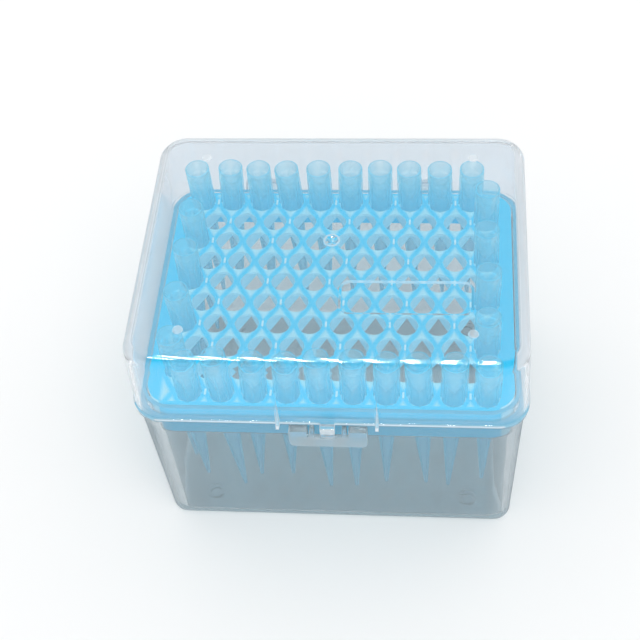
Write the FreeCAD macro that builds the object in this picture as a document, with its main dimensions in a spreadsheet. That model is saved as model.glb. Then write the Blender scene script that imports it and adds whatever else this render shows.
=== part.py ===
import FreeCAD, Part
import math
import os

import Sketcher

doc = FreeCAD.newDocument("tip_box")

# ---------------------------------------------------------------------------------------------
# Driving sizes, millimetres and degrees. The frame: origin at the centre of the underside,
# +Z up, +Y towards the hinge, -Y towards the latch, +X to the right of the latch.
# ---------------------------------------------------------------------------------------------
sheet = doc.addObject("Spreadsheet::Sheet", "Sizes")
SIZES = {
    # rack lattice: ten staggered rows of ten wells
    "well_pitch": 11.0,
    "well_diameter": 8.3,
    "end_margin": 9.15,          # outermost well centre to the deck's left or right edge
    "side_margin": 4.75,         # outermost row of wells to the deck's front or back edge
    "deck_corner_radius": 8.5,
    "plate_thickness": 1.2,
    "rib_thickness": 1.0,
    "rib_depth": 6.7,            # deck top to the underside of the ribs
    "skirt_depth": 15.5,         # deck top to the skirt's lower edge
    "skirt_thickness": 0.85,
    "skirt_flare": 0.35,         # how far the skirt leans out over its depth
    "tick_width": 0.7,
    "tick_length": 2.3,
    "tick_height": 0.35,
    # base
    "base_height": 72.0,
    "rack_clearance": 0.65,      # deck edge to the inside of the neck
    "neck_wall": 1.25,
    "neck_height": 4.6,          # neck above the closing lip
    "shoulder": 1.4,             # base wall outside the neck, just under the lip
    "lip_overhang": 1.1,         # lip past the base wall
    "lip_thickness": 0.8,
    "base_draft": 2.2,           # how much smaller the foot is than the shoulder, each side
    "base_corner_radius": 6.0,
    "foot_radius": 3.0,
    "floor_thickness": 1.5,
    "floor_fillet": 2.0,
    "ledge": 0.8,                # width of the step that the rack stands on
    "core_draft": 0.2,
    "stack_length": 94.0,        # stacking nubs and dimples, centre to centre
    "stack_width": 77.4,
    "dimple_diameter": 4.4,
    "dimple_depth": 0.9,
    "dimple_pad": 6.5,
    "dimple_pad_height": 0.6,
    # lid
    "headroom": 9.9,            # tip rims to the top of the closed lid
    "lid_wall": 1.35,
    "lid_gap": 1.3,              # neck to the inside of the lid's rim
    "lid_draft": 1.0,
    "lid_top_radius": 4.5,
    "rim_gap": 0.05,             # lid rim above the lip
    "bead": 0.45,
    "bead_height": 1.4,
    "bead_round": 0.4,
    "nub_diameter": 3.4,
    "nub_height": 0.8,
    "nub_round": 0.72,
    "gate_diameter": 5.8,        # raised ring round the moulding gate
    "gate_rise": 0.35,
    "gate_round": 0.33,
    "gate_bowl": 3.5,            # radius of the hollow inside the ring
    "gate_depth": 0.85,          # ring's top to the bottom of the hollow
    "gate_pip": 1.2,
    "gate_pip_height": 0.3,
    "panel_length": 43.6,
    "panel_width": 14.0,
    "panel_centre_x": 25.5,
    "panel_centre_y": -24.1,
    "panel_radius": 3.5,
    "panel_depth": 0.35,
    "panel_slope": 0.85,         # width of the panel's slanted sides
    "guard_spacing": 32.8,       # the two wedge ribs beside the latch
    "guard_height": 13.6,
    "guard_thickness": 1.1,
    # latch
    "latch_reach": 2.4,          # front of the keeper past the lid's rim
    "keeper_width": 26.0,
    "keeper_height": 8.6,
    "keeper_top": 1.2,           # keeper top below the lid's rim
    "keeper_corner": 2.0,
    "keeper_plate": 1.3,
    "window_width": 13.9,
    "window_drop": 3.0,
    "slot_depth": 6.2,
    "strut_spacing": 10.8,
    "strut_width": 1.4,
    "strut_slope": 1.0,
    "slot_skin": 0.2,            # left on the base wall behind the slot
    "hook_width": 4.8,
    "hook_gap": 0.5,
    "hook_stand": 0.2,           # front of the hook past the keeper
    "hook_thickness": 1.4,
    "hook_drop": 4.6,
    "hook_corner": 2.2,
    "knob_reach": 1.1,           # front of the knob past the keeper
    "knob_drop": 1.3,            # below the lid's rim, in front of the base's lip
    "knob_gap": 0.15,            # back of that drop to the face of the lid's wall
    "knob_rise": 1.4,            # front of the knob above the rim
    "knob_slope": 0.9,
    "knob_round": 0.9,
    # hinge
    "hinge_reach": 3.8,          # pin axis behind the lid's rim
    "hinge_spacing": 60.0,
    "pin_diameter": 3.0,
    "pin_clearance": 0.05,       # radial
    "knuckle_diameter": 5.6,
    "knuckle_width": 9.4,
    "knuckle_mouth": 2.4,
    "lug_gap": 0.3,
    "lug_thickness": 3.0,
    "lug_diameter": 5.2,
    "lug_height": 9.0,
    "arm_rise": 1.5,             # knuckle arm's height at the wall, past the knuckle's own
    # joins and cuts
    "root_depth": 0.3,           # how far a rib or an arm runs into its wall
    "root_lift": 0.2,            # lowest part of such a root above the lid's rim
    "cut_past": 1.0,             # how far a cut runs past the surface it opens
    # tips
    "tip_length": 70.5,
    "tip_stand": 17.8,           # rim above the deck
    "tip_rim_diameter": 8.7,
    "tip_collar": 5.2,
    "tip_play": 0.7,             # well diameter minus the barrel's at the deck
    "tip_bearing": 0.6,          # fin circle minus the well diameter
    "tip_waist_diameter": 6.2,
    "tip_waist_depth": 18.0,     # below the deck
    "tip_end_diameter": 1.1,
    "tip_wall": 0.75,
    "tip_bore": 0.5,
    "tip_mouth": 0.35,
    "tip_mouth_depth": 4.2,
    "tip_step": 0.1,             # barrel at the collar, wider than at the deck
    "tip_collar_slope": 0.3,
    "fin_thickness": 0.6,
}
for row, (name, size) in enumerate(SIZES.items(), start=1):
    sheet.set(f"A{row}", name)
    sheet.set(f"B{row}", str(size))
    sheet.setAlias(f"B{row}", name)
doc.recompute()

COLUMNS = 10
ROWS = 10
FINS = 8
STAGGER = 0.5                    # odd rows stand half a pitch to the right
LEAN_ROOM = 1.02                 # a leaning tip stands this much higher than its fins need
TOLERANCE = 1e-4


def size(expression):
    """The number that an expression on the sheet comes to."""
    result = sheet.evalExpression(expression)
    return float(getattr(result, "Value", result))


# Sizes worked out from the driving ones, as expressions that the features are bound to.
row_pitch = "(Sizes.well_pitch * sqrt(3) / 2)"
deck_half_x = f"({(COLUMNS - 1 + STAGGER) / 2} * Sizes.well_pitch + Sizes.end_margin)"
deck_half_y = f"({(ROWS - 1) / 2} * {row_pitch} + Sizes.side_margin)"
neck_in_x = f"({deck_half_x} + Sizes.rack_clearance)"
neck_in_y = f"({deck_half_y} + Sizes.rack_clearance)"
neck_out_x = f"({neck_in_x} + Sizes.neck_wall)"
neck_out_y = f"({neck_in_y} + Sizes.neck_wall)"
neck_radius = "(Sizes.deck_corner_radius + Sizes.rack_clearance)"
shoulder_x = f"({neck_out_x} + Sizes.shoulder)"
shoulder_y = f"({neck_out_y} + Sizes.shoulder)"
shoulder_radius = "(Sizes.base_corner_radius + Sizes.base_draft)"
rim_in_x = f"({neck_out_x} + Sizes.lid_gap)"
rim_in_y = f"({neck_out_y} + Sizes.lid_gap)"
rim_out_x = f"({rim_in_x} + Sizes.lid_wall)"
rim_out_y = f"({rim_in_y} + Sizes.lid_wall)"
rim_radius = f"({neck_radius} + Sizes.lid_wall)"
lip_top = "(Sizes.base_height - Sizes.neck_height)"
lip_bottom = f"({lip_top} - Sizes.lip_thickness)"
ledge_level = "(Sizes.base_height - Sizes.skirt_depth)"
ledge_half_x = f"({neck_in_x} - Sizes.ledge)"
ledge_half_y = f"({neck_in_y} - Sizes.ledge)"
ledge_radius = f"({neck_radius} - Sizes.ledge)"
rim_level = f"({lip_top} + Sizes.rim_gap)"
lid_top = "(Sizes.base_height + Sizes.tip_stand + Sizes.headroom)"
keeper_front = f"({rim_out_y} + Sizes.latch_reach)"
keeper_level = f"({rim_level} - Sizes.keeper_top)"
hinge_y = f"({rim_out_y} + Sizes.hinge_reach)"
hinge_z = rim_level
lug_inner = "(Sizes.knuckle_width / 2 + Sizes.lug_gap)"


def sketch_on(body, name, plane, offset):
    """An empty sketch on one of the body's origin planes, moved along its normal."""
    sketch = body.newObject("Sketcher::SketchObject", name)
    origin_plane = [item for item in body.Origin.OriginFeatures if item.Role == plane][0]
    sketch.AttachmentSupport = [(origin_plane, "")]
    sketch.MapMode = "FlatFace"
    sketch.setExpression("AttachmentOffset.Base.z", offset)
    return sketch


def add_rounded_rectangle(sketch, half_x, half_y, radius, tag=""):
    """Draws a rounded rectangle about the sketch's origin, held by three sizes."""
    x, y, r = size(half_x), size(half_y), size(radius)
    up = FreeCAD.Vector(0, 0, 1)
    first = sketch.GeometryCount

    def line(x1, y1, x2, y2):
        return Part.LineSegment(FreeCAD.Vector(x1, y1, 0), FreeCAD.Vector(x2, y2, 0))

    def corner(cx, cy, start):
        circle = Part.Circle(FreeCAD.Vector(cx, cy, 0), up, r)
        return Part.ArcOfCircle(circle, math.radians(start), math.radians(start + 90))

    sketch.addGeometry([
        line(r - x, -y, x - r, -y),
        corner(x - r, r - y, -90),
        line(x, r - y, x, y - r),
        corner(x - r, y - r, 0),
        line(x - r, y, r - x, y),
        corner(r - x, y - r, 90),
        line(-x, y - r, -x, r - y),
        corner(r - x, r - y, 180),
    ], False)
    bottom, right, top, left = first, first + 2, first + 4, first + 6
    arcs = [first + 1, first + 3, first + 5, first + 7]
    for index in range(8):
        following = first + (index + 1) % 8
        sketch.addConstraint(Sketcher.Constraint("Tangent", first + index, 2, following, 1))
    for edge in (bottom, top):
        sketch.addConstraint(Sketcher.Constraint("Horizontal", edge))
    for edge in (right, left):
        sketch.addConstraint(Sketcher.Constraint("Vertical", edge))
    for arc in arcs[1:]:
        sketch.addConstraint(Sketcher.Constraint("Equal", arcs[0], arc))
    held = [
        (Sketcher.Constraint("DistanceX", -1, 1, right, 1, x), "right", half_x),
        (Sketcher.Constraint("DistanceX", left, 1, -1, 1, x), "left", half_x),
        (Sketcher.Constraint("DistanceY", -1, 1, top, 1, y), "top", half_y),
        (Sketcher.Constraint("DistanceY", bottom, 1, -1, 1, y), "bottom", half_y),
        (Sketcher.Constraint("Radius", arcs[0], r), "radius", radius),
    ]
    for constraint, label, expression in held:
        number = sketch.addConstraint(constraint)
        sketch.renameConstraint(number, label + tag)
        sketch.setExpression(f"Constraints.{label}{tag}", expression)


def rounded_rectangle(body, name, level, half_x, half_y, radius):
    """A level sketch of one rounded rectangle."""
    sketch = sketch_on(body, name, "XY_Plane", level)
    add_rounded_rectangle(sketch, half_x, half_y, radius)
    return sketch


def ring(body, name, level, half_x, half_y, radius, thickness):
    """A level sketch of a rounded rectangle with a second one inside it."""
    sketch = rounded_rectangle(body, name, level, half_x, half_y, radius)
    add_rounded_rectangle(sketch, f"({half_x} - {thickness})", f"({half_y} - {thickness})",
                          f"({radius} - {thickness})", "_inside")
    return sketch


def outline(body, name, plane, offset, points):
    """A closed polygon; each corner is a pair of expressions, held from the sketch's origin."""
    sketch = sketch_on(body, name, plane, offset)
    corners = [FreeCAD.Vector(size(x), size(y), 0) for x, y in points]
    count = len(points)
    for index in range(count):
        sketch.addGeometry(Part.LineSegment(corners[index], corners[(index + 1) % count]), False)
    for index in range(count):
        sketch.addConstraint(Sketcher.Constraint("Coincident", index, 2, (index + 1) % count, 1))
    for index, (x, y) in enumerate(points):
        across = sketch.addConstraint(Sketcher.Constraint("DistanceX", -1, 1, index, 1, corners[index].x))
        sketch.renameConstraint(across, f"x{index}")
        sketch.setExpression(f"Constraints.x{index}", x)
        along = sketch.addConstraint(Sketcher.Constraint("DistanceY", -1, 1, index, 1, corners[index].y))
        sketch.renameConstraint(along, f"y{index}")
        sketch.setExpression(f"Constraints.y{index}", y)
    return sketch


def circles(body, name, plane, offset, centres, diameter):
    """Equal circles; each centre is a pair of expressions."""
    sketch = sketch_on(body, name, plane, offset)
    for index, (x, y) in enumerate(centres):
        centre = FreeCAD.Vector(size(x), size(y), 0)
        sketch.addGeometry(Part.Circle(centre, FreeCAD.Vector(0, 0, 1), size(diameter) / 2), False)
        across = sketch.addConstraint(Sketcher.Constraint("DistanceX", -1, 1, index, 3, centre.x))
        sketch.renameConstraint(across, f"x{index}")
        sketch.setExpression(f"Constraints.x{index}", x)
        along = sketch.addConstraint(Sketcher.Constraint("DistanceY", -1, 1, index, 3, centre.y))
        sketch.renameConstraint(along, f"y{index}")
        sketch.setExpression(f"Constraints.y{index}", y)
        bore = sketch.addConstraint(Sketcher.Constraint("Diameter", index, size(diameter)))
        sketch.renameConstraint(bore, f"d{index}")
        sketch.setExpression(f"Constraints.d{index}", diameter)
    return sketch


def pad(body, name, sketch, length, midplane=False):
    """Extrudes a sketch along its normal."""
    feature = body.newObject("PartDesign::Pad", name)
    feature.Profile = sketch
    feature.setExpression("Length", length)
    feature.Midplane = midplane
    return feature


def pocket(body, name, sketch, length, along_normal=False, midplane=False):
    """Cuts a sketch against its normal, or along it."""
    feature = body.newObject("PartDesign::Pocket", name)
    feature.Profile = sketch
    feature.setExpression("Length", length)
    feature.Reversed = along_normal
    feature.Midplane = midplane
    return feature


def drafted(body, name, sketch, height, inset, cut=False, widening=False):
    """A block or a hollow that rises from a sketch, its sides leaning by an inset over the height."""
    if cut:
        block = pocket(body, name + "_block", sketch, height, True)
    else:
        block = pad(body, name + "_block", sketch, height)
    doc.recompute()
    foot_level = sketch.Placement.Base.z
    head_level = foot_level + size(height)
    sides = []
    level = ""
    for number, face in enumerate(block.Shape.Faces, start=1):
        starts_at_foot = abs(face.BoundBox.ZMin - foot_level) < TOLERANCE
        if starts_at_foot and abs(face.BoundBox.ZMax - head_level) < TOLERANCE:
            sides.append(f"Face{number}")
        if starts_at_foot and abs(face.BoundBox.ZMax - foot_level) < TOLERANCE:
            level = f"Face{number}"
    draft = body.newObject("PartDesign::Draft", name)
    draft.Base = (block, sides)
    draft.NeutralPlane = (block, [level])
    draft.setExpression("Angle", f"atan({inset} / ({height}))")
    draft.Reversed = cut != widening
    return draft


def fillet(body, name, radius, chosen):
    """Rounds the edges that a test on their middle point and length picks out."""
    doc.recompute()
    base = body.Tip
    names = []
    for number, edge in enumerate(base.Shape.Edges, start=1):
        middle = edge.valueAt((edge.FirstParameter + edge.LastParameter) / 2)
        if chosen(edge, middle):
            names.append(f"Edge{number}")
    feature = body.newObject("PartDesign::Fillet", name)
    feature.Base = (base, names)
    feature.setExpression("Radius", radius)
    return feature


def grid(body, name, original, sketch, count_x, step_x, count_y, step_y):
    """Repeats a feature over a grid laid out from its first place."""
    across = body.newObject("PartDesign::LinearPattern", name + "_across")
    across.Direction = (sketch, ["H_Axis"])
    across.Occurrences = count_x
    across.setExpression("Length", f"{count_x - 1} * {step_x}")
    along = body.newObject("PartDesign::LinearPattern", name + "_along")
    along.Direction = (sketch, ["V_Axis"])
    along.Occurrences = count_y
    along.setExpression("Length", f"{count_y - 1} * {step_y}")
    both = body.newObject("PartDesign::MultiTransform", name)
    both.Originals = [original]
    both.Transformations = [across, along]
    body.Tip = both
    return both


# ---------------------------------------------------------------------------------------------
# Tip rack: deck plate on diagonal ribs, a round well in each diamond of the ribs, skirt all round
# ---------------------------------------------------------------------------------------------
rack = doc.addObject("PartDesign::Body", "tip_rack")
rack_outline = rounded_rectangle(rack, "deck_outline", "Sizes.base_height - Sizes.rib_depth",
                                 deck_half_x, deck_half_y, "Sizes.deck_corner_radius")
pad(rack, "deck_block", rack_outline, "Sizes.rib_depth")

# A diamond cell is one pitch wide between rib centre lines, and its sides slope at 60 degrees.
cell_half_x = "(Sizes.well_pitch / 2 - Sizes.rib_thickness / sqrt(3))"
cell_half_y = f"({cell_half_x} * sqrt(3))"
first_well_x = f"(-{(COLUMNS - 1 + STAGGER) / 2} * Sizes.well_pitch)"
first_well_y = f"({(ROWS - 1) / 2} * {row_pitch})"
for parity in (0, 1):
    start_x = f"({first_well_x} + {parity * STAGGER} * Sizes.well_pitch - Sizes.well_pitch)"
    start_y = f"(-({first_well_y}) + {parity - 1} * {row_pitch})"
    cell = outline(rack, f"cell_outline_{parity}", "XY_Plane", "Sizes.base_height - Sizes.rib_depth", [
        (f"{start_x} - {cell_half_x}", start_y),
        (start_x, f"{start_y} - {cell_half_y}"),
        (f"{start_x} + {cell_half_x}", start_y),
        (start_x, f"{start_y} + {cell_half_y}"),
    ])
    hollow = pocket(rack, f"cell_{parity}", cell, "Sizes.rib_depth - Sizes.plate_thickness", True)
    grid(rack, f"cells_{parity}", hollow, cell, COLUMNS + 2, "Sizes.well_pitch",
         ROWS // 2 + 1, f"2 * {row_pitch}")

rim_of_rack = ring(rack, "skirt_top", "Sizes.base_height", deck_half_x, deck_half_y,
                   "Sizes.deck_corner_radius", "Sizes.skirt_thickness")
foot_of_rack = ring(rack, "skirt_foot", ledge_level, f"({deck_half_x} + Sizes.skirt_flare)",
                    f"({deck_half_y} + Sizes.skirt_flare)",
                    "(Sizes.deck_corner_radius + Sizes.skirt_flare)", "Sizes.skirt_thickness")
skirt = rack.newObject("PartDesign::AdditiveLoft", "skirt")
skirt.Profile = foot_of_rack
skirt.Sections = [(rim_of_rack, [""])]
skirt.Ruled = True
for parity in (0, 1):
    start_x = f"({first_well_x} + {parity * STAGGER} * Sizes.well_pitch)"
    start_y = f"(-({first_well_y}) + {1 - parity} * {row_pitch})"
    well = circles(rack, f"well_outline_{parity}", "XY_Plane", "Sizes.base_height",
                   [(start_x, start_y)], "Sizes.well_diameter")
    hole = pocket(rack, f"well_{parity}", well, "Sizes.skirt_depth")
    grid(rack, f"wells_{parity}", hole, well, COLUMNS, "Sizes.well_pitch", ROWS // 2, f"2 * {row_pitch}")
for parity in (0, 1):
    middle_x = f"({first_well_x} + {parity * STAGGER + 0.5} * Sizes.well_pitch)"
    middle_y = f"(-({first_well_y}) + {1 - parity} * {row_pitch})"
    tick = outline(rack, f"tick_outline_{parity}", "XY_Plane", "Sizes.base_height", [
        (f"{middle_x} - Sizes.tick_width / 2", f"{middle_y} - Sizes.tick_length / 2"),
        (f"{middle_x} + Sizes.tick_width / 2", f"{middle_y} - Sizes.tick_length / 2"),
        (f"{middle_x} + Sizes.tick_width / 2", f"{middle_y} + Sizes.tick_length / 2"),
        (f"{middle_x} - Sizes.tick_width / 2", f"{middle_y} + Sizes.tick_length / 2"),
    ])
    mark = pad(rack, f"tick_{parity}", tick, "Sizes.tick_height")
    grid(rack, f"ticks_{parity}", mark, tick, COLUMNS // 2, "2 * Sizes.well_pitch",
         ROWS // 2, f"2 * {row_pitch}")
doc.recompute()

# ---------------------------------------------------------------------------------------------
# Base: drafted box with a neck for the lid, a closing lip, a ledge for the rack, keeper and lugs
# ---------------------------------------------------------------------------------------------
base = doc.addObject("PartDesign::Body", "base")
foot = rounded_rectangle(base, "foot_outline", "0", f"({shoulder_x} - Sizes.base_draft)",
                         f"({shoulder_y} - Sizes.base_draft)", "Sizes.base_corner_radius")
drafted(base, "wall", foot, lip_bottom, "Sizes.base_draft", widening=True)
fillet(base, "foot_round", "Sizes.foot_radius",
       lambda edge, middle: abs(edge.BoundBox.ZMax) < TOLERANCE)
neck = rounded_rectangle(base, "neck_outline", lip_bottom, neck_out_x, neck_out_y,
                         f"({neck_radius} + Sizes.neck_wall)")
pad(base, "neck", neck, "Sizes.neck_height + Sizes.lip_thickness")
lip = rounded_rectangle(base, "lip_outline", lip_bottom, f"({shoulder_x} + Sizes.lip_overhang)",
                        f"({shoulder_y} + Sizes.lip_overhang)", f"({shoulder_radius} + Sizes.lip_overhang)")
pad(base, "lip", lip, "Sizes.lip_thickness")

# The keeper stands out from the front wall under the lip.
keeper_foot = f"({keeper_level} - Sizes.keeper_height)"
keeper = outline(base, "keeper_outline", "XZ_Plane", f"({shoulder_y} - Sizes.base_draft)", [
    ("-Sizes.keeper_width / 2", keeper_foot),
    ("Sizes.keeper_width / 2", keeper_foot),
    ("Sizes.keeper_width / 2", keeper_level),
    ("-Sizes.keeper_width / 2", keeper_level),
])
pad(base, "keeper", keeper, f"{keeper_front} - {shoulder_y} + Sizes.base_draft")
fillet(base, "keeper_corners", "Sizes.keeper_corner", lambda edge, middle: (
    abs(abs(middle.x) - size("Sizes.keeper_width / 2")) < TOLERANCE
    and abs(middle.z - size(keeper_foot)) < TOLERANCE
    and middle.y < -size(shoulder_y)))

# Two hinges at the back, each a pair of lugs that hold one pin between them.
for number, side in enumerate((-1, 1)):
    middle = f"({side} * Sizes.hinge_spacing / 2)"
    for which, step in enumerate((-1, 1)):
        place = f"({middle} + {step} * ({lug_inner} + Sizes.lug_thickness / 2))"
        arm = outline(base, f"lug_outline_{number}{which}", "YZ_Plane", place, [
            (f"({shoulder_y} - Sizes.base_draft)", f"{hinge_z} - Sizes.lug_height"),
            (f"{hinge_y}", f"{hinge_z} - Sizes.lug_diameter / 2"),
            (f"{hinge_y}", f"{hinge_z}"),
            (f"({shoulder_y} - Sizes.base_draft)", f"{lip_bottom}"),
        ])
        pad(base, f"lug_arm_{number}{which}", arm, "Sizes.lug_thickness", True)
        boss = circles(base, f"boss_outline_{number}{which}", "YZ_Plane", place,
                       [(hinge_y, hinge_z)], "Sizes.lug_diameter")
        pad(base, f"lug_boss_{number}{which}", boss, "Sizes.lug_thickness", True)
    pin = circles(base, f"pin_outline_{number}", "YZ_Plane", middle, [(hinge_y, hinge_z)],
                  "Sizes.pin_diameter")
    pad(base, f"pin_{number}", pin, f"2 * {lug_inner} + Sizes.lug_thickness", True)

# The inside: a wide mouth down to the ledge, and a narrower well below it.
mouth = rounded_rectangle(base, "mouth_outline", "Sizes.base_height", neck_in_x, neck_in_y, neck_radius)
pocket(base, "mouth", mouth, "Sizes.skirt_depth")
floor_outline = rounded_rectangle(base, "floor_outline", "Sizes.floor_thickness",
                                  f"({ledge_half_x} - Sizes.core_draft)",
                                  f"({ledge_half_y} - Sizes.core_draft)",
                                  f"({ledge_radius} - Sizes.core_draft)")
drafted(base, "well", floor_outline, f"({ledge_level} - Sizes.floor_thickness)", "Sizes.core_draft",
        cut=True, widening=True)
fillet(base, "floor_round", "Sizes.floor_fillet", lambda edge, middle: (
    abs(edge.BoundBox.ZMax - size("Sizes.floor_thickness")) < TOLERANCE
    and abs(edge.BoundBox.ZMin - size("Sizes.floor_thickness")) < TOLERANCE))

# Dimples under the foot, where the nubs of a box below would sit.
stack_places = [(f"({x} * Sizes.stack_length / 2)", f"({y} * Sizes.stack_width / 2)")
                for x in (-1, 1) for y in (-1, 1)]
pads = circles(base, "dimple_pads_outline", "XY_Plane", "Sizes.floor_thickness", stack_places,
               "Sizes.dimple_pad")
pad(base, "dimple_pads", pads, "Sizes.dimple_pad_height")
dimples = circles(base, "dimples_outline", "XY_Plane", "0", stack_places, "Sizes.dimple_diameter")
pocket(base, "dimples", dimples, "Sizes.dimple_depth", True)

# The keeper's slot, the lowered front edge between its ends, and the notch for the hook.
slot_back = f"({shoulder_y} + Sizes.slot_skin)"
slot_front = f"({keeper_front} - Sizes.keeper_plate)"
slot = outline(base, "slot_outline", "XY_Plane", keeper_level, [
    ("-Sizes.window_width / 2", f"-{slot_front}"),
    ("Sizes.window_width / 2", f"-{slot_front}"),
    ("Sizes.window_width / 2", f"-{slot_back}"),
    ("-Sizes.window_width / 2", f"-{slot_back}"),
])
pocket(base, "slot", slot, "Sizes.slot_depth")
edge_cut = outline(base, "front_edge_outline", "XY_Plane", keeper_level, [
    ("-Sizes.window_width / 2", f"-{keeper_front} - Sizes.cut_past"),
    ("Sizes.window_width / 2", f"-{keeper_front} - Sizes.cut_past"),
    ("Sizes.window_width / 2", f"-{slot_front}"),
    ("-Sizes.window_width / 2", f"-{slot_front}"),
])
pocket(base, "front_edge", edge_cut, "Sizes.window_drop")
notch_half = "(Sizes.hook_width / 2 + Sizes.hook_gap)"
for number, side in enumerate((-1, 1)):
    centre = f"({side} * Sizes.strut_spacing / 2)"
    strut = outline(base, f"strut_outline_{number}", "YZ_Plane", centre, [
        (f"-{keeper_front}", f"{keeper_level} - Sizes.window_drop - Sizes.keeper_plate"),
        (f"-{shoulder_y}", f"{keeper_level} - Sizes.window_drop - Sizes.keeper_plate"),
        (f"-{shoulder_y}", keeper_level),
        (f"-{slot_front}", keeper_level),
        (f"-{keeper_front}", f"{keeper_level} - Sizes.strut_slope"),
    ])
    pad(base, f"strut_{number}", strut, "Sizes.strut_width", True)
notch_foot = f"({rim_level} - Sizes.hook_drop - Sizes.hook_gap)"
notch = outline(base, "notch_outline", "XZ_Plane", f"{keeper_front} + Sizes.cut_past", [
    (f"-{notch_half}", notch_foot),
    (notch_half, notch_foot),
    (notch_half, f"{keeper_level} + Sizes.cut_past"),
    (f"-{notch_half}", f"{keeper_level} + Sizes.cut_past"),
])
pocket(base, "notch", notch, "Sizes.keeper_plate + 1.5 * Sizes.cut_past")
doc.recompute()

# ---------------------------------------------------------------------------------------------
# Lid: drafted cover with a bead round its rim, stacking nubs, panel, guards, hook and knuckles
# ---------------------------------------------------------------------------------------------
lid = doc.addObject("PartDesign::Body", "lid")
rim = rounded_rectangle(lid, "rim_outline", rim_level, rim_out_x, rim_out_y, rim_radius)
drafted(lid, "cover", rim, f"({lid_top} - {rim_level})", "Sizes.lid_draft")
hollow_rim = rounded_rectangle(lid, "hollow_rim_outline", rim_level, rim_in_x, rim_in_y,
                               f"({rim_radius} - Sizes.lid_wall)")
ceiling = f"({lid_top} - Sizes.lid_wall)"
drafted(lid, "hollow", hollow_rim, f"({ceiling} - {rim_level})", "Sizes.lid_draft", cut=True)
fillet(lid, "crown_round", "Sizes.lid_top_radius",
       lambda edge, middle: abs(edge.BoundBox.ZMin - size(lid_top)) < TOLERANCE)
fillet(lid, "ceiling_round", "Sizes.lid_top_radius - Sizes.lid_wall", lambda edge, middle: (
    abs(edge.BoundBox.ZMin - size(ceiling)) < TOLERANCE
    and abs(edge.BoundBox.ZMax - size(ceiling)) < TOLERANCE))
bead_x = f"({rim_out_x} + Sizes.bead)"
bead_y = f"({rim_out_y} + Sizes.bead)"
bead_radius = f"({rim_radius} + Sizes.bead)"
bead = ring(lid, "bead_outline", f"{rim_level} + Sizes.root_lift", bead_x, bead_y, bead_radius,
            "(Sizes.bead + Sizes.lid_wall / 2)")
pad(lid, "bead", bead, "Sizes.bead_height")


def on_bead(edge, middle):
    """True for the level edges round the outside of the bead."""
    is_level = edge.BoundBox.ZMax - edge.BoundBox.ZMin < TOLERANCE
    on_end = abs(abs(middle.x) - size(bead_x)) < TOLERANCE
    on_side = abs(abs(middle.y) - size(bead_y)) < TOLERANCE
    on_corner = abs(getattr(edge.Curve, "Radius", 0) - size(bead_radius)) < TOLERANCE
    return is_level and (on_end or on_side or on_corner)


fillet(lid, "bead_rounds", "Sizes.bead_round", on_bead)
for number, side in enumerate((-1, 1)):
    guard = outline(lid, f"guard_outline_{number}", "YZ_Plane", f"({side} * Sizes.guard_spacing / 2)", [
        (f"-{keeper_front}", rim_level),
        (f"-{rim_in_y} - Sizes.root_depth", rim_level),
        (f"-{rim_in_y} - Sizes.root_depth", f"{rim_level} + Sizes.guard_height"),
    ])
    pad(lid, f"guard_{number}", guard, "Sizes.guard_thickness", True)

# The hook hangs from a knob for the thumb, and springs into the keeper's notch.
knob_front = f"({keeper_front} + Sizes.knob_reach)"
knob_foot = f"({rim_level} - Sizes.knob_drop)"
knob_top = f"({rim_level} + Sizes.knob_rise)"
knob_outline = outline(lid, "knob_outline", "YZ_Plane", "0", [
    (f"-{knob_front}", knob_foot),
    (f"-{rim_out_y} - Sizes.knob_gap", knob_foot),
    (f"-{rim_out_y} - Sizes.knob_gap", f"{rim_level} + Sizes.root_lift"),
    (f"-{rim_in_y} - Sizes.root_depth", f"{rim_level} + Sizes.root_lift"),
    (f"-{rim_in_y} - Sizes.root_depth", f"{knob_top} + Sizes.knob_slope"),
    (f"-{knob_front}", knob_top),
])
pad(lid, "knob", knob_outline, "Sizes.hook_width", True)
fillet(lid, "knob_rounds", "Sizes.knob_round",
       lambda edge, middle: abs(middle.y + size(knob_front)) < TOLERANCE)
hook_foot = f"({rim_level} - Sizes.hook_drop)"
hook_plate = outline(lid, "hook_outline", "XZ_Plane",
                     f"({keeper_front} + Sizes.hook_stand - Sizes.hook_thickness)", [
    ("-Sizes.hook_width / 2", hook_foot),
    ("Sizes.hook_width / 2", hook_foot),
    ("Sizes.hook_width / 2", f"{knob_foot} + Sizes.root_depth"),
    ("-Sizes.hook_width / 2", f"{knob_foot} + Sizes.root_depth"),
])
pad(lid, "hook_plate", hook_plate, "Sizes.hook_thickness")
fillet(lid, "hook_nose", "Sizes.hook_corner", lambda edge, middle: (
    abs(middle.z - size(hook_foot)) < TOLERANCE
    and abs(abs(middle.x) - size("Sizes.hook_width / 2")) < TOLERANCE))

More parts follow.
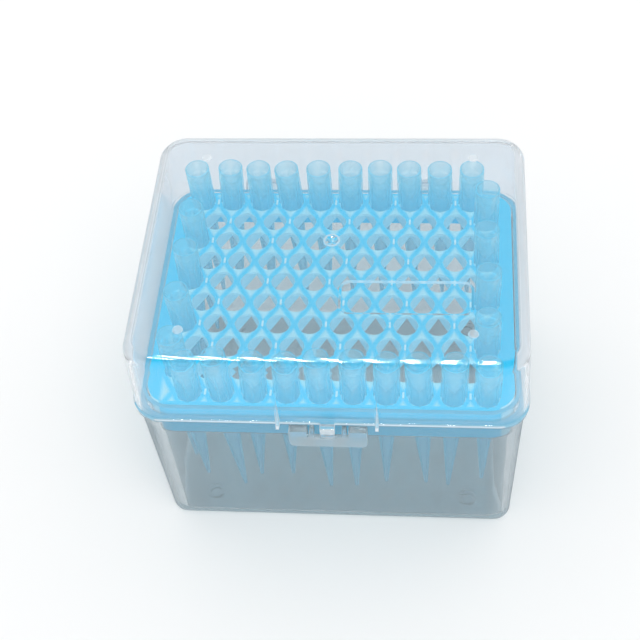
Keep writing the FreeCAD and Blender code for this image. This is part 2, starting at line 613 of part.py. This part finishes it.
# Knuckles that clip over the hinge pins, on arms from the back wall.
for number, side in enumerate((-1, 1)):
    middle = f"({side} * Sizes.hinge_spacing / 2)"
    arm = outline(lid, f"knuckle_arm_outline_{number}", "YZ_Plane", middle, [
        (f"{rim_in_y} + Sizes.root_depth", f"{rim_level} + Sizes.root_lift"),
        (hinge_y, f"{hinge_z} + Sizes.pin_diameter / 2"),
        (hinge_y, f"{hinge_z} + Sizes.knuckle_diameter / 2"),
        (f"{rim_in_y} + Sizes.root_depth", f"{hinge_z} + Sizes.knuckle_diameter / 2 + Sizes.arm_rise"),
    ])
    pad(lid, f"knuckle_arm_{number}", arm, "Sizes.knuckle_width", True)
    barrel = circles(lid, f"knuckle_outline_{number}", "YZ_Plane", middle, [(hinge_y, hinge_z)],
                     "Sizes.knuckle_diameter")
    pad(lid, f"knuckle_{number}", barrel, "Sizes.knuckle_width", True)
    bore = circles(lid, f"knuckle_bore_outline_{number}", "YZ_Plane", middle, [(hinge_y, hinge_z)],
                   "Sizes.pin_diameter + 2 * Sizes.pin_clearance")
    pocket(lid, f"knuckle_bore_{number}", bore, "Sizes.knuckle_width + Sizes.cut_past", midplane=True)
    clip_mouth = outline(lid, f"clip_mouth_outline_{number}", "YZ_Plane", middle, [
        (f"{hinge_y} - Sizes.knuckle_mouth / 2", f"{hinge_z} - Sizes.knuckle_diameter"),
        (f"{hinge_y} + Sizes.knuckle_mouth / 2", f"{hinge_z} - Sizes.knuckle_diameter"),
        (f"{hinge_y} + Sizes.knuckle_mouth / 2", hinge_z),
        (f"{hinge_y} - Sizes.knuckle_mouth / 2", hinge_z),
    ])
    pocket(lid, f"clip_mouth_{number}", clip_mouth, "Sizes.knuckle_width + Sizes.cut_past", midplane=True)

# The top: four stacking nubs, the moulding gate in its raised ring, and a sunken bare panel.
nubs = circles(lid, "nubs_outline", "XY_Plane", lid_top, stack_places, "Sizes.nub_diameter")
pad(lid, "nubs", nubs, "Sizes.nub_height")
fillet(lid, "nub_rounds", "Sizes.nub_round", lambda edge, middle: (
    abs(edge.BoundBox.ZMin - size(f"{lid_top} + Sizes.nub_height")) < TOLERANCE))
gate_top = f"({lid_top} + Sizes.gate_rise)"
gate = circles(lid, "gate_outline", "XY_Plane", lid_top, [("0", "0")], "Sizes.gate_diameter")
pad(lid, "gate_ring", gate, "Sizes.gate_rise")
fillet(lid, "gate_rounds", "Sizes.gate_round",
       lambda edge, middle: abs(edge.BoundBox.ZMin - size(gate_top)) < TOLERANCE)
bowl = lid.newObject("PartDesign::SubtractiveSphere", "gate_bowl")
bowl.setExpression("Radius", "Sizes.gate_bowl")
bowl.setExpression("Placement.Base.z", f"{gate_top} + Sizes.gate_bowl - Sizes.gate_depth")
pip = circles(lid, "pip_outline", "XY_Plane", f"({gate_top} - Sizes.gate_depth - Sizes.gate_pip_height)",
              [("0", "0")], "Sizes.gate_pip")
pad(lid, "pip", pip, "2 * Sizes.gate_pip_height")
panel_mouth = rounded_rectangle(lid, "panel_mouth", lid_top, "Sizes.panel_length / 2",
                                "Sizes.panel_width / 2", "Sizes.panel_radius")
panel_floor = rounded_rectangle(lid, "panel_floor", f"({lid_top} - Sizes.panel_depth)",
                                "(Sizes.panel_length / 2 - Sizes.panel_slope)",
                                "(Sizes.panel_width / 2 - Sizes.panel_slope)",
                                "(Sizes.panel_radius - Sizes.panel_slope)")
for level in (panel_mouth, panel_floor):
    level.setExpression("AttachmentOffset.Base.x", "Sizes.panel_centre_x")
    level.setExpression("AttachmentOffset.Base.y", "Sizes.panel_centre_y")
panel = lid.newObject("PartDesign::SubtractiveLoft", "panel")
panel.Profile = panel_mouth
panel.Sections = [(panel_floor, [""])]
panel.Ruled = True
doc.recompute()

# ---------------------------------------------------------------------------------------------
# Tips: one turned-looking moulding each, with fins whose feet stand on the deck round the well
# ---------------------------------------------------------------------------------------------
barrel_radius = "(Sizes.well_diameter - Sizes.tip_play) / 2"
fin_radius = "(Sizes.well_diameter + Sizes.tip_bearing) / 2"
tip_below = "(Sizes.tip_length - Sizes.tip_stand)"
collar_foot = "(Sizes.tip_stand - Sizes.tip_collar - Sizes.tip_collar_slope)"


def make_tip(label, column, row, sideways, forward):
    """One tip in a well; the leans are in degrees, rim to the right and rim to the front."""
    tip = doc.addObject("PartDesign::Body", label)
    profile = outline(tip, label + "_profile", "XZ_Plane", "0", [
        ("Sizes.tip_rim_diameter / 2", "Sizes.tip_stand"),
        ("Sizes.tip_rim_diameter / 2", "Sizes.tip_stand - Sizes.tip_collar"),
        (f"{barrel_radius} + Sizes.tip_step", collar_foot),
        (barrel_radius, "0"),
        ("Sizes.tip_waist_diameter / 2", "-Sizes.tip_waist_depth"),
        ("Sizes.tip_end_diameter / 2", f"-{tip_below}"),
        ("Sizes.tip_bore / 2", f"-{tip_below}"),
        ("Sizes.tip_waist_diameter / 2 - Sizes.tip_wall", "-Sizes.tip_waist_depth"),
        (f"{barrel_radius} - Sizes.tip_wall", "0"),
        (f"{barrel_radius} - Sizes.tip_wall + Sizes.tip_step", "Sizes.tip_stand - Sizes.tip_collar"),
        ("Sizes.tip_rim_diameter / 2 - Sizes.tip_wall", "Sizes.tip_stand - Sizes.tip_mouth_depth"),
        ("Sizes.tip_rim_diameter / 2 - Sizes.tip_mouth", "Sizes.tip_stand"),
    ])
    turned = tip.newObject("PartDesign::Revolution", label + "_turned")
    turned.Profile = profile
    turned.ReferenceAxis = (profile, ["V_Axis"])
    turned.Angle = 360
    fin_outline = outline(tip, label + "_fin_outline", "XY_Plane", "0", [
        (f"{barrel_radius} - Sizes.tip_wall / 2", "-Sizes.fin_thickness / 2"),
        (fin_radius, "-Sizes.fin_thickness / 2"),
        (fin_radius, "Sizes.fin_thickness / 2"),
        (f"{barrel_radius} - Sizes.tip_wall / 2", "Sizes.fin_thickness / 2"),
    ])
    fin = pad(tip, label + "_fin", fin_outline, f"{collar_foot} + 2 * Sizes.tip_collar_slope")
    fins = tip.newObject("PartDesign::PolarPattern", label + "_fins")
    fins.Originals = [fin]
    fins.Axis = (fin_outline, ["N_Axis"])
    fins.Angle = 360
    fins.Occurrences = FINS
    tip.Tip = fins
    doc.recompute()
    x = size(first_well_x) + (column + STAGGER * (row % 2)) * size("Sizes.well_pitch")
    y = size(first_well_y) - row * size(row_pitch)
    tilt = FreeCAD.Rotation(FreeCAD.Vector(0, 1, 0), sideways)
    tilt = tilt.multiply(FreeCAD.Rotation(FreeCAD.Vector(1, 0, 0), forward))
    lean = tilt.multVec(FreeCAD.Vector(0, 0, 1)).getAngle(FreeCAD.Vector(0, 0, 1))
    lift = size(fin_radius) * math.sin(lean) * LEAN_ROOM
    tip.Placement = FreeCAD.Placement(FreeCAD.Vector(x, y, size("Sizes.base_height") + lift), tilt)
    return tip


# The tips sit loose in their wells, so each leans its own way.
BACK_LEANS = [(-1, 0.5), (3, -1), (0.5, 0), (-2, 1), (0, -0.5),
              (2, 0.5), (1, -1), (-1, 0), (-1, 1), (0.5, -0.5)]
FRONT_LEANS = [(0.5, 2), (-3, -3), (3, 2), (2.5, 2.5), (-1, -3),
               (1, -2.5), (1.5, 0), (-2, 0), (1.5, -1), (0.5, 2.5)]
LEFT_LEANS = [(-0.5, 0.5), (1, -1), (-1, 1), (0.5, 0.5)]
RIGHT_LEANS = [(0.5, 0.5), (-1, 0), (1, -0.5), (-0.5, 1)]

tips = []
for column in range(COLUMNS):
    tips.append(make_tip(f"tip_back_{column + 1:02d}", column, 0, *BACK_LEANS[column]))
    tips.append(make_tip(f"tip_front_{column + 1:02d}", column, ROWS - 1, *FRONT_LEANS[column]))
for number in range(ROWS // 2 - 1):
    tips.append(make_tip(f"tip_left_{number + 1:02d}", 0, 2 * number + 2, *LEFT_LEANS[number]))
    tips.append(make_tip(f"tip_right_{number + 1:02d}", COLUMNS - 1, 2 * number + 1,
                         *RIGHT_LEANS[number]))

# ---------------------------------------------------------------------------------------------
# Every feature is sound before any file is written
# ---------------------------------------------------------------------------------------------
doc.recompute()
for item in doc.Objects:
    if "Invalid" in item.State or "Error" in item.State:
        raise RuntimeError(f"{item.Label} failed: {item.State}")
parts = [base, lid, rack] + tips
for part in parts:
    if part.Shape.isNull() or not part.Shape.isValid() or len(part.Shape.Solids) != 1:
        raise RuntimeError(f"{part.Label} is not one sound solid")
os.makedirs("parts", exist_ok=True)
for part in parts:
    part.Shape.exportStep(os.path.join("parts", part.Label + ".step"))
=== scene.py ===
import math
import bpy
from mathutils import Matrix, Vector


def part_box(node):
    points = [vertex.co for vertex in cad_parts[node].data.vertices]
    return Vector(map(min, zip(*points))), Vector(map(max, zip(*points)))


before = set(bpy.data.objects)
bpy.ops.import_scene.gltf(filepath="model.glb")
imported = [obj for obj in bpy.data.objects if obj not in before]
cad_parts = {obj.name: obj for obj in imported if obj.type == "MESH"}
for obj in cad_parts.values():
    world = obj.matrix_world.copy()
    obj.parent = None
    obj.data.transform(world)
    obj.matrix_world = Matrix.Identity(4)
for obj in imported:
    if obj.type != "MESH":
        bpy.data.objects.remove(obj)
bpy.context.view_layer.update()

# ---------------------------------------------------------------------------------------------
# Base
# The box that everything stands in: one injection moulding in natural polypropylene, with a
# lightly frosted outside. Light passes through it, and what is inside shows softly.
# ---------------------------------------------------------------------------------------------


class Wire:
    """A socket of a material's nodes. Arithmetic on it adds Math nodes; node() adds any other."""

    def __init__(self, tree, socket=None):
        self.tree = tree
        self.socket = socket

    def node(self, kind, settings=None, values=None, output=0):
        """Adds a node: its settings first, then the values or links of its sockets."""
        made = self.tree.nodes.new("ShaderNode" + kind)
        for name, setting in (settings or {}).items():
            setattr(made, name, setting)
        for name, value in (values or {}).items():
            if isinstance(value, Wire):
                self.tree.links.new(value.socket, made.inputs[name])
            else:
                made.inputs[name].default_value = value
        return Wire(self.tree, made.outputs[output])

    def maths(self, operation, first, second=0.0):
        return self.node("Math", {"operation": operation}, {0: first, 1: second})

    def larger(self, other):
        return self.maths("MAXIMUM", self, other)

    def __add__(self, other):
        return self.maths("ADD", self, other)

    def __sub__(self, other):
        return self.maths("SUBTRACT", self, other)

    def __rsub__(self, other):
        return self.maths("SUBTRACT", other, self)

    def __mul__(self, other):
        return self.maths("MULTIPLY", self, other)

    def __neg__(self):
        return self.maths("SUBTRACT", 0.0, self)

    def __abs__(self):
        return self.maths("ABSOLUTE", self)

    __radd__ = __add__
    __rmul__ = __mul__


def new_material(name):
    """An empty material and a wire into its nodes."""
    material = bpy.data.materials.new(name)
    material.use_nodes = True
    material.node_tree.nodes.clear()
    return material, Wire(material.node_tree)


def finish_material(wire, surface, volume=None):
    """Joins the shaders to the material's output."""
    output = wire.tree.nodes.new("ShaderNodeOutputMaterial")
    wire.tree.links.new(surface.socket, output.inputs["Surface"])
    if volume:
        wire.tree.links.new(volume.socket, output.inputs["Volume"])


def axis(wire, vector, letter):
    """One of a vector's three numbers, by its letter."""
    return wire.node("SeparateXYZ", values={0: vector}, output=letter)


def facing_up(wire):
    """1 on a face that looks up, 0 on an upright wall, -1 on a face that looks down."""
    return axis(wire, wire.node("TexCoord", output="Normal"), "Z")


def seen_edge_on(wire):
    """0 on a face that is looked at squarely, 1 on one that is seen edge on."""
    return wire.node("LayerWeight", values={"Blend": 0.5}, output="Facing")


def rise(wire, value, low, high):
    """A mask that rises smoothly from 0 at low to 1 at high."""
    return wire.node("MapRange", {"interpolation_type": "SMOOTHSTEP"},
                     {"Value": value, "From Min": low, "From Max": high})


def blend(wire, mask, colour, other):
    """The colour where the mask is 0, the other one where it is 1."""
    return wire.node("MixRGB", values={0: mask, 1: colour, 2: other})


def let_lamps_through(wire, surface, lamps):
    """Swaps in a clear shader for rays that gather light, so that lamps reach what is inside."""
    shadow = wire.node("LightPath", output="Is Shadow Ray")
    scattered = wire.node("LightPath", output="Is Diffuse Ray")
    return wire.node("MixShader", values={0: shadow + scattered, 1: surface, 2: lamps})


def window(wire, tint):
    """A shader that light passes straight through, a little tinted."""
    return wire.node("BsdfTransparent", values={"Color": tint})


def milky(wire, colour, glow, through, share, clear):
    """Clouds a clear shader: a share of the light is scattered, back or through."""
    back = wire.node("BsdfPrincipled", values={
        "Base Color": colour, "Roughness": 1.0, "Specular IOR Level": 0.0})
    on = wire.node("BsdfTranslucent", values={"Color": glow})
    both = wire.node("MixShader", values={0: through, 1: back, 2: on})
    return wire.node("MixShader", values={0: share, 1: clear, 2: both})


def rim_level():
    """Where the lid's rim rests on the base's lip. The lid's hook hangs further down."""
    hook_below_rim = 0.0046
    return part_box("lid")[0].z + hook_below_rim


def frosted_shell():
    """Clear in the neck and frosted below the lip. The rack's blue behind the neck is painted onto the
    neck as a painted see-through colour, strongest on its top edge and on the lip's flat seat.
    """
    clear_tint, frosted_tint = (0.97, 0.985, 0.99, 1), (0.80, 0.86, 0.885, 1)
    neck_painted_rack_blue, seat_painted_rack_blue = (0.06, 0.60, 0.92, 1), (0.10, 0.60, 0.90, 1)
    frost, edge_grey, painted_foot_shade = (0.40, 0.445, 0.47, 1), (0.30, 0.335, 0.36, 1), (0.20, 0.26, 0.28, 1)
    keeper_white = (0.68, 0.76, 0.80, 1)
    clear_light, frosted_light = (0.96, 0.98, 0.985, 1), (0.70, 0.75, 0.775, 1)
    half_seam = 0.0005
    brim_low, brim_high = 0.0003, 0.0001         # below the neck's top edge
    keeper_back, keeper_full = 0.0022, 0.0016    # behind the keeper's face
    foot_full, foot_end = 0.0006, 0.0016         # above the table
    seat_full, seat_end = 0.0002, 0.0004         # from the rim's level, up or down

    material, wire = new_material("frosted_polypropylene")
    lip = rim_level()
    low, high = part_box("base")
    place = wire.node("TexCoord", output="Object")
    ahead, height = -axis(wire, place, "Y"), axis(wire, place, "Z")
    upward = facing_up(wire)
    glance = seen_edge_on(wire)
    cloud = wire.node("TexNoise", values={"Vector": place, "Scale": 60.0, "Detail": 3.0})
    below_lip = 1.0 - rise(wire, height, lip - half_seam, lip + half_seam)
    clear = wire.node("BsdfPrincipled", values={
        "Base Color": blend(wire, below_lip, clear_tint, frosted_tint),
        "Roughness": 0.01 + below_lip * (0.03 + 0.03 * cloud),
        "IOR": 1.18,
        "Transmission Weight": 1.0,
        "Coat Weight": 1.0 - 0.6 * glance * glance,
        "Coat Roughness": 0.08,
    })
    # Painted see-through blue: the rack's blue is painted on the neck's top edge and on the lip's flat
    # seat, in place of the rack seen through the plastic.
    brim_painted_blue = rise(wire, height, high.z - brim_low, high.z - brim_high)
    keeper = rise(wire, ahead, -low.y - keeper_back, -low.y - keeper_full) * below_lip
    wall = 1.0 - rise(wire, upward * upward, 0.1, 0.3)
    # Painted shade: a dark band along the foot, where the box meets the table.
    foot_shade = (1.0 - rise(wire, height, foot_full, foot_end)) * wall
    seat_painted_blue = rise(wire, upward, 0.8, 0.95) * (1.0 - rise(wire, abs(height - lip), seat_full, seat_end))
    steep = glance * glance * glance
    share = below_lip * (0.06 + 0.04 * cloud + 1.05 * steep + 0.4 * foot_shade)
    share = share + 0.02 + 0.85 * brim_painted_blue + 0.2 * keeper + 0.7 * seat_painted_blue
    colour = blend(wire, below_lip, neck_painted_rack_blue, frost)
    colour = blend(wire, seat_painted_blue, colour, seat_painted_rack_blue)
    colour = blend(wire, below_lip * steep, colour, edge_grey)
    colour = blend(wire, keeper, colour, keeper_white)
    colour = blend(wire, foot_shade, colour, painted_foot_shade)
    shell = milky(wire, colour, glow=(0.50, 0.57, 0.60, 1), through=0.35, share=share, clear=clear)
    lamps = wire.node("MixShader", values={
        0: below_lip, 1: window(wire, clear_light), 2: window(wire, frosted_light)})
    finish_material(wire, let_lamps_through(wire, shell, lamps))
    return material


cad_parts["base"].material_slots[0].material = frosted_shell()


# ---------------------------------------------------------------------------------------------
# Tip rack
# A tinted polypropylene moulding that drops into the base: the deeper the ribs are looked
# through, the stronger their blue.
# ---------------------------------------------------------------------------------------------
def tinted(name, look, glow, through, glaze, tint, density):
    """A see-through coloured plastic; look gives its surface's colour, and how much that hides."""
    white = (1, 1, 1, 1)
    material, wire = new_material(name)
    place = wire.node("TexCoord", output="Object")
    speckle = wire.node("TexNoise", values={"Vector": place, "Scale": 90.0, "Detail": 2.0})
    colour, cloud = look(wire, place)
    body = milky(wire, colour, glow, through, cloud + 0.06 * speckle, window(wire, white))
    gloss = wire.node("BsdfGlossy", values={"Color": white, "Roughness": 0.12 + 0.1 * speckle})
    edge = wire.node("Fresnel", values={"IOR": 1.4})
    shine = wire.node("MixShader", values={0: glaze * edge, 1: body, 2: gloss})
    depth = wire.node("VolumeAbsorption", values={"Color": tint, "Density": density})
    lamps = window(wire, (0.95, 0.985, 1.0, 1))
    finish_material(wire, let_lamps_through(wire, shine, lamps), depth)
    return material


def rack_look(wire, place):
    """Thin plate between the ribs, full colour over them and along the ends, and a painted highlight
    on the ticks at the crossings.
    """
    plate_blue, rib_blue = (0.44, 0.86, 1.0, 1), (0.04, 0.65, 1.0, 1)
    wall_blue, tick_highlight_blue = (0.46, 0.84, 1.0, 1), (0.58, 0.90, 1.0, 1)
    well_pitch = 0.011
    strip_start, strip_full = 0.0066, 0.0045     # from the rack's end, where it has no wells
    skirt_start, skirt_full = 0.0014, 0.0010     # from the rack's widest line
    tick_low, tick_high = 0.0003, 0.0001         # below the ticks' tops

    half_x = well_pitch / 2
    half_y = half_x * math.sqrt(3)
    end_x, end_y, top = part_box("tip_rack")[1]
    x, y, z = axis(wire, place, "X"), axis(wire, place, "Y"), axis(wire, place, "Z")
    across, along = x * (1 / half_x), y * (1 / half_y)
    rising = wire.maths("PINGPONG", across + along + 1.0, 1.0)
    falling = wire.maths("PINGPONG", across - along, 1.0)
    rib = rise(wire, rising.larger(falling), 0.62, 0.92)
    strip = rise(wire, abs(x), end_x - strip_start, end_x - strip_full)
    skirt = rise(wire, abs(y), end_y - skirt_start, end_y - skirt_full)
    deep = rib.larger(strip.larger(skirt))
    upward = facing_up(wire)
    wall = (1.0 - rise(wire, upward * upward, 0.3, 0.6)) * (1.0 - skirt)
    # Painted highlight: the ticks' tops are painted paler, where they would catch the light.
    tick_highlight = rise(wire, z, top - tick_low, top - tick_high)
    colour = blend(wire, deep, plate_blue, rib_blue)
    colour = blend(wire, wall, colour, wall_blue)
    colour = blend(wire, tick_highlight, colour, tick_highlight_blue)
    return colour, 0.8 + 0.12 * deep + 0.03 * seen_edge_on(wire)


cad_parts["tip_rack"].material_slots[0].material = tinted(
    "blue_rack_polypropylene", rack_look, glow=(0.05, 0.70, 1.0, 1), through=0.15, glaze=0.4,
    tint=(0.0, 0.94, 1.0, 1), density=100.0)


# ---------------------------------------------------------------------------------------------
# Tips
# Thin hollow mouldings of pale blue polypropylene, open at the top for the pipette's nozzle.
# Each drops into a well of the rack, and its collar holds it there.
# ---------------------------------------------------------------------------------------------
def tip_look(wire, place):
    """A darker, deeper blue low down as painted shade in the wells, paler towards the rim, and full
    blue where seen edge on.
    """
    low_shade_blue, high_blue, edge_blue = (0.03, 0.63, 1.0, 1), (0.52, 0.88, 1.0, 1), (0.06, 0.65, 1.0, 1)
    pale_start, pale_full = 0.001, 0.017         # above the rack's deck
    well_depth = 0.012

    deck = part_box("tip_rack")[1].z
    height = axis(wire, place, "Z")
    glance = seen_edge_on(wire)
    rim = rise(wire, facing_up(wire), 0.8, 0.95)
    proud = rise(wire, height, deck + pale_start, deck + pale_full)
    near = rise(wire, height, deck - well_depth, deck)
    edge = rim.larger(glance * glance)
    # Painted shade: the darker blue low down fades out above the rack's deck.
    colour = blend(wire, proud, low_shade_blue, high_blue)
    colour = blend(wire, edge, colour, edge_blue)
    return colour, 0.14 + near * (0.20 - 0.28 * proud) + 0.5 * edge


tip_material = tinted(
    "pale_blue_tip_polypropylene", tip_look, glow=(0.22, 0.78, 1.0, 1), through=0.5, glaze=0.3,
    tint=(0.05, 0.97, 1.0, 1), density=80.0)
for name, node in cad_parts.items():
    if name.startswith("tip_") and name != "tip_rack":
        node.material_slots[0].material = tip_material


# ---------------------------------------------------------------------------------------------
# Lid
# A clear cover moulded in the same natural polypropylene as the base, polished inside and out,
# hooked over the keeper at the front and clipped to the hinge pins at the back.
# ---------------------------------------------------------------------------------------------
def clear_shell():
    """White where it is thick or seen edge on: the bead round its rim, the knob and the guards."""
    white, underside_painted_rack_blue = (0.90, 0.92, 0.94, 1), (0.20, 0.64, 0.86, 1)
    outline_grey, crown_grey = (0.66, 0.69, 0.715, 1), (0.74, 0.745, 0.765, 1)
    nub_height = 0.0008                          # the nubs' tops above the lid's top
    knob_reach = 0.0035                          # the knob's front past the front wall
    bead_reach = 0.00045                         # the bead past the walls
    bead_full, bead_end = 0.0013, 0.0016         # above the rim
    nose_start, nose_full = 0.0012, 0.0020       # below the rim, on the hook
    guard_place, guard_taper = 0.0164, 0.035     # from the middle; thinner upwards
    guard_full, guard_end = 0.0004, 0.0006       # from the guard's middle, at the rim
    guard_back, guard_front = 0.005, 0.004       # behind the front wall's face
    guard_low, guard_high = 0.002, 0.016         # above the rim, where it fades out
    label_front, label_back = 0.034, 0.015       # ahead of the lid's middle
    label_fade = 0.001
    edge_start, edge_full = 0.0060, 0.0052       # inside the walls
    crown_start, crown_full = 0.006, 0.005       # below the lid's top
    veil_start, veil_full = 0.003, 0.002         # below the lid's top
    step = 0.0001                                # just past a surface

    material, wire = new_material("clear_polypropylene")
    low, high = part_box("lid")
    rim, top = rim_level(), high.z - nub_height
    face, side = -low.y - knob_reach, high.x - bead_reach
    place = wire.node("TexCoord", output="Object")
    x, y, height = axis(wire, place, "X"), axis(wire, place, "Y"), axis(wire, place, "Z")
    facing_ahead = -axis(wire, wire.node("TexCoord", output="Normal"), "Y")
    upward = facing_up(wire)
    tilt = upward * upward
    glance = seen_edge_on(wire)
    cloud = wire.node("TexNoise", values={"Vector": place, "Scale": 40.0, "Detail": 3.0})

    # The label panel is a shallow dish with slanted sides; its sides shine less than the rest.
    label = rise(wire, -y, label_back - label_fade, label_back + label_fade)
    label = label * (1.0 - rise(wire, -y, label_front - label_fade, label_front + label_fade))
    slant = 1.0 - rise(wire, upward, 0.95, 0.99)
    # Painted highlight: the label dish's sides that face the front are whitened.
    label_highlight = label * rise(wire, facing_ahead, 0.15, 0.3)
    clear = wire.node("BsdfPrincipled", values={
        "Base Color": (0.91, 0.935, 0.965, 1),
        "Roughness": 0.005 + 0.01 * cloud,
        "IOR": 1.12,
        "Transmission Weight": 1.0,
        "Coat Weight": (1.0 - 0.7 * label * slant) * (1.0 - 0.7 * glance * glance),
        "Coat Roughness": 0.05,
    })

    # The bead and the knob stand out past the walls; the hook's nose hangs below the rim.
    outside = rise(wire, abs(x), side + step, side + 2 * step)
    outside = outside.larger(rise(wire, abs(y), face + step, face + 2 * step))
    bead = outside * (1.0 - rise(wire, height, rim + bead_full, rim + bead_end))
    nose = 1.0 - rise(wire, height, rim - nose_full, rim - nose_start)

    # The two guards beside the hook are thin upright fins that narrow upwards.
    taper = abs(abs(x) - guard_place) + guard_taper * height
    guard_rim = guard_taper * rim
    guard = 1.0 - rise(wire, taper, guard_rim + guard_full, guard_rim + guard_end)
    guard = guard * rise(wire, -y, face - guard_back, face - guard_front)
    guard = guard * (1.0 - rise(wire, height, rim + guard_low, rim + guard_high))

    # Flat faces: the top has a faint veil, and the rack's blue is painted onto the rim's underside, in
    # place of the rack seen through it.
    flat = rise(wire, tilt, 0.8, 0.95)
    veil = flat * rise(wire, height, top - veil_start, top - veil_full)
    underside_painted_blue = flat * (1.0 - rise(wire, height, rim + step, rim + 2 * step)) * (1.0 - nose)
    raised = rise(wire, height, top + step, top + 3 * step)

    # The rounded edge of the top turns grey at the sides and the back, and so does the outline.
    near_edge = rise(wire, abs(x), side - edge_start, side - edge_full)
    near_edge = near_edge.larger(rise(wire, y, face - edge_start, face - edge_full))
    crown = near_edge * rise(wire, tilt, 0.02, 0.10) * (1.0 - rise(wire, tilt, 0.90, 0.98))
    crown = crown * rise(wire, height, top - crown_start, top - crown_full)
    outline = rise(wire, glance, 0.84, 0.96)
    steep = glance * glance * glance * glance

    share = 0.01 + 0.8 * steep + 0.075 * veil + 0.7 * bead - 0.55 * nose * bead + 0.6 * underside_painted_blue
    share = share + 0.4 * guard + 0.4 * raised + 0.3 * label_highlight + 0.3 * outline + 0.5 * crown
    colour = blend(wire, underside_painted_blue, white, underside_painted_rack_blue)
    colour = blend(wire, outline, colour, outline_grey)
    colour = blend(wire, crown, colour, crown_grey)
    shell = milky(wire, colour, glow=white, through=0.4, share=share, clear=clear)
    lamps = window(wire, (0.98, 0.985, 0.99, 1))
    finish_material(wire, let_lamps_through(wire, shell, lamps))
    return material


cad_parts["lid"].material_slots[0].material = clear_shell()


# ---------------------------------------------------------------------------------------------
# Floor
# A plain white sheet that the box stands on, far wider than the view. It lies a hair under the
# box, so that the two surfaces do not coincide.
# ---------------------------------------------------------------------------------------------
hair = 0.0003
bpy.ops.object.select_all(action="DESELECT")
bpy.ops.mesh.primitive_plane_add(size=12.0, location=(0, 0, -hair))
floor = bpy.context.object
floor.name = "floor"
material, wire = new_material("white_floor")
finish_material(wire, wire.node("BsdfDiffuse", values={"Color": (0.89, 0.89, 0.89, 1)}))
floor.data.materials.append(material)

# ---------------------------------------------------------------------------------------------
# Light
# A pale room that is brighter near the floor than overhead, a broad soft light high up in
# front, and ten long tubes that show only as highlights.
# ---------------------------------------------------------------------------------------------
world = bpy.data.worlds.new("studio")
bpy.context.scene.world = world
world.use_nodes = True
world.node_tree.nodes.clear()
wire = Wire(world.node_tree)
height = axis(wire, wire.node("TexCoord", output="Generated"), "Z")
seen = wire.node("LightPath", output="Is Camera Ray")
seen = seen + wire.node("LightPath", output="Is Glossy Ray")
seen = seen + wire.node("LightPath", output="Is Transmission Ray")
backdrop = wire.node("MapRange", {"clamp": True}, {
    "Value": height, "From Min": 0.1, "From Max": 0.5, "To Min": 1.0, "To Max": 0.3})
room = 1.16 - 0.42 * height
strength = room + seen * (backdrop - room)
sky = wire.node("Background", values={"Color": (1, 1, 1, 1), "Strength": strength})
output = wire.tree.nodes.new("ShaderNodeOutputWorld")
wire.tree.links.new(sky.socket, output.inputs["Surface"])

key = bpy.data.objects.new("key", bpy.data.lights.new("key", "SUN"))
bpy.context.scene.collection.objects.link(key)
key.data.angle = math.radians(50)
key.data.energy = 1.05
key.rotation_euler = (math.radians(32), math.radians(16), 0)
key.visible_glossy = False
key.visible_transmission = False

tube_count, tube_pitch = 10, 0.0385
tube_width, tube_length = 0.009, 0.50
first_tube_x, tube_y, tube_z = -0.265, -0.46, 0.90
for number in range(tube_count):
    tube = bpy.data.objects.new(f"tube_{number}", bpy.data.lights.new(f"tube_{number}", "AREA"))
    bpy.context.scene.collection.objects.link(tube)
    tube.data.shape = "RECTANGLE"
    tube.data.size = tube_width
    tube.data.size_y = tube_length
    tube.data.energy = 0.93
    tube.location = (first_tube_x + tube_pitch * number, tube_y, tube_z)
    tube.visible_diffuse = False

# ---------------------------------------------------------------------------------------------
# Camera
# It looks down on the lid from high up in front and a little to the right, through a long
# lens, and is rolled a little.
# ---------------------------------------------------------------------------------------------
camera = bpy.data.objects.new("camera", bpy.data.cameras.new("camera"))
bpy.context.scene.collection.objects.link(camera)
camera.data.sensor_width = 36.0
camera.data.lens = 73.83
camera.data.clip_start = 0.01
turned, tipped, rolled = math.radians(8.85), math.radians(90 - 51.70), math.radians(-6.16)
aim = Matrix.Rotation(turned, 4, "Z") @ Matrix.Rotation(tipped, 4, "X")
stand = Matrix.Translation((0.0383, -0.2900, 0.4281))
camera.matrix_world = stand @ aim @ Matrix.Rotation(rolled, 4, "Z")
bpy.context.scene.camera = camera

scene = bpy.context.scene
scene.view_settings.view_transform = "Standard"
scene.cycles.max_bounces = 24
scene.cycles.transmission_bounces = 24
scene.cycles.transparent_max_bounces = 64
